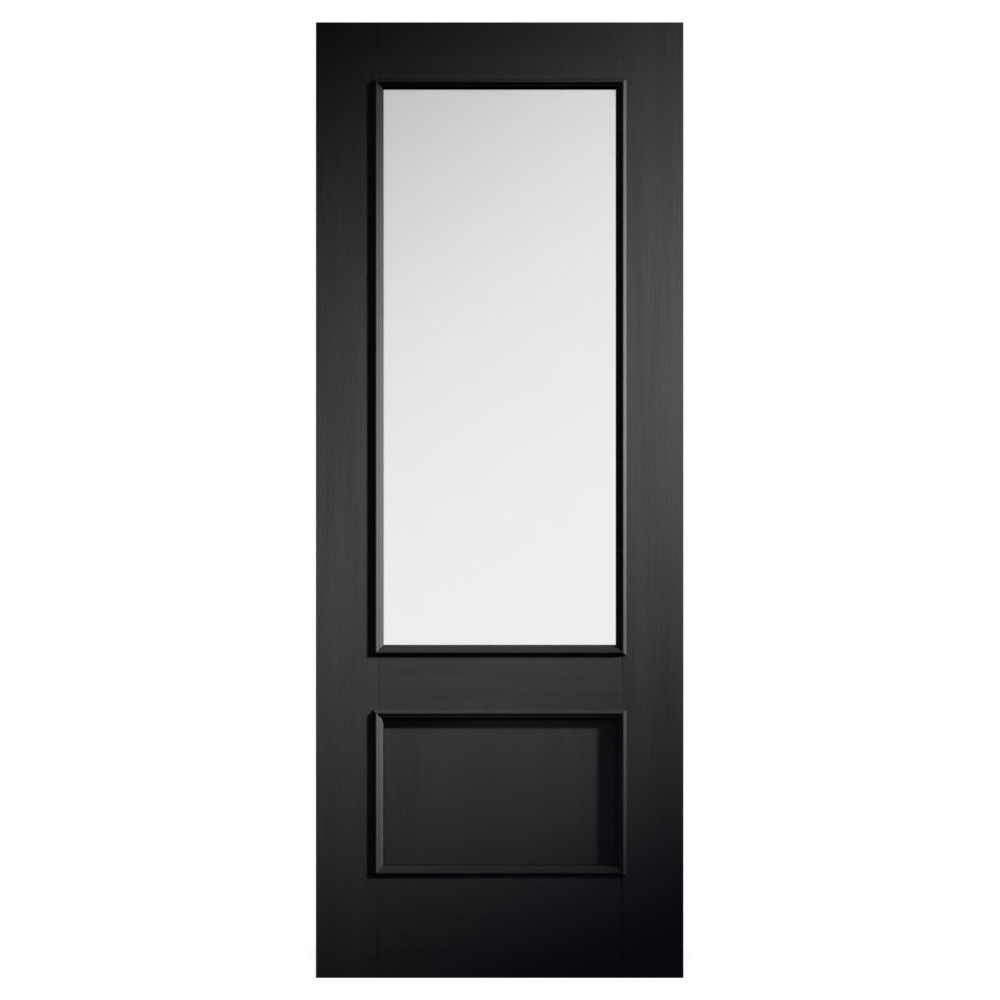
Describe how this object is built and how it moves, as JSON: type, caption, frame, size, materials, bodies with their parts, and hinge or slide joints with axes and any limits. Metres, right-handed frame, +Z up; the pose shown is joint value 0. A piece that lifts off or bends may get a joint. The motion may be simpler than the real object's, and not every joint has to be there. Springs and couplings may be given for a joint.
{
  "type": "glazed interior door leaf",
  "caption": "Black woodgrain interior door leaf with a tall glazed light above a flat panel, both framed by raised mitred mouldings on a doweled solid-core frame.",
  "frame": {"origin": "middle of the bottom edge, half way through the leaf's thickness", "axes": "+X across the leaf to the right seen from the front, +Y from the front to the back through the thickness, +Z up along the stiles"},
  "size_m": [0.762, 0.048, 1.981],
  "materials": {
    "black_woodgrain": "black satin woodgrain, fine open grain along each member",
    "black_panel": "black satin woodgrain, grain upright",
    "black_moulding": "black satin, grain along the length",
    "black_lipping": "black satin solid timber edge",
    "core_timber": "laminated timber, ends sealed dark",
    "glass": "satin-etched toughened, pale, lets soft light through",
    "glazing_tape": "black closed-cell foam tape",
    "glazing_block": "matt moulded plastic",
    "dowel_beech": "plain beech",
    "brad_steel": "bright drawn steel"
  },
  "bodies": {
    "root": {"back_glass_moulding_bottom": "black_moulding", "back_glass_moulding_left": "black_moulding", "back_glass_moulding_right": "black_moulding", "back_glass_moulding_top": "black_moulding", "back_glazing_tape_bottom": "glazing_tape", "back_glazing_tape_left": "glazing_tape", "back_glazing_tape_right": "glazing_tape", "back_glazing_tape_top": "glazing_tape", "back_panel_moulding_bottom": "black_moulding", "back_panel_moulding_left": "black_moulding", "back_panel_moulding_right": "black_moulding", "back_panel_moulding_top": "black_moulding", "bottom_rail_back_face": "black_woodgrain", "bottom_rail_core": "core_timber", "bottom_rail_dowels": "dowel_beech", "bottom_rail_front_face": "black_woodgrain", "front_glass_moulding_bottom": "black_moulding", "front_glass_moulding_left": "black_moulding", "front_glass_moulding_right": "black_moulding", "front_glass_moulding_top": "black_moulding", "front_glazing_tape_bottom": "glazing_tape", "front_glazing_tape_left": "glazing_tape", "front_glazing_tape_right": "glazing_tape", "front_glazing_tape_top": "glazing_tape", "front_panel_moulding_bottom": "black_moulding", "front_panel_moulding_left": "black_moulding", "front_panel_moulding_right": "black_moulding", "front_panel_moulding_top": "black_moulding", "glass_location_blocks": "glazing_block", "glass_moulding_brads": "brad_steel", "glass_pane": "glass", "glass_setting_blocks": "glazing_block", "left_stile_back_face": "black_woodgrain", "left_stile_core": "core_timber", "left_stile_front_face": "black_woodgrain", "left_stile_lipping": "black_lipping", "lower_panel": "black_panel", "middle_rail_back_face": "black_woodgrain", "middle_rail_core": "core_timber", "middle_rail_dowels": "dowel_beech", "middle_rail_front_face": "black_woodgrain", "panel_moulding_brads": "brad_steel", "right_stile_back_face": "black_woodgrain", "right_stile_core": "core_timber", "right_stile_front_face": "black_woodgrain", "right_stile_lipping": "black_lipping", "top_rail_back_face": "black_woodgrain", "top_rail_core": "core_timber", "top_rail_dowels": "dowel_beech", "top_rail_front_face": "black_woodgrain"}
  },
  "joints": []
}
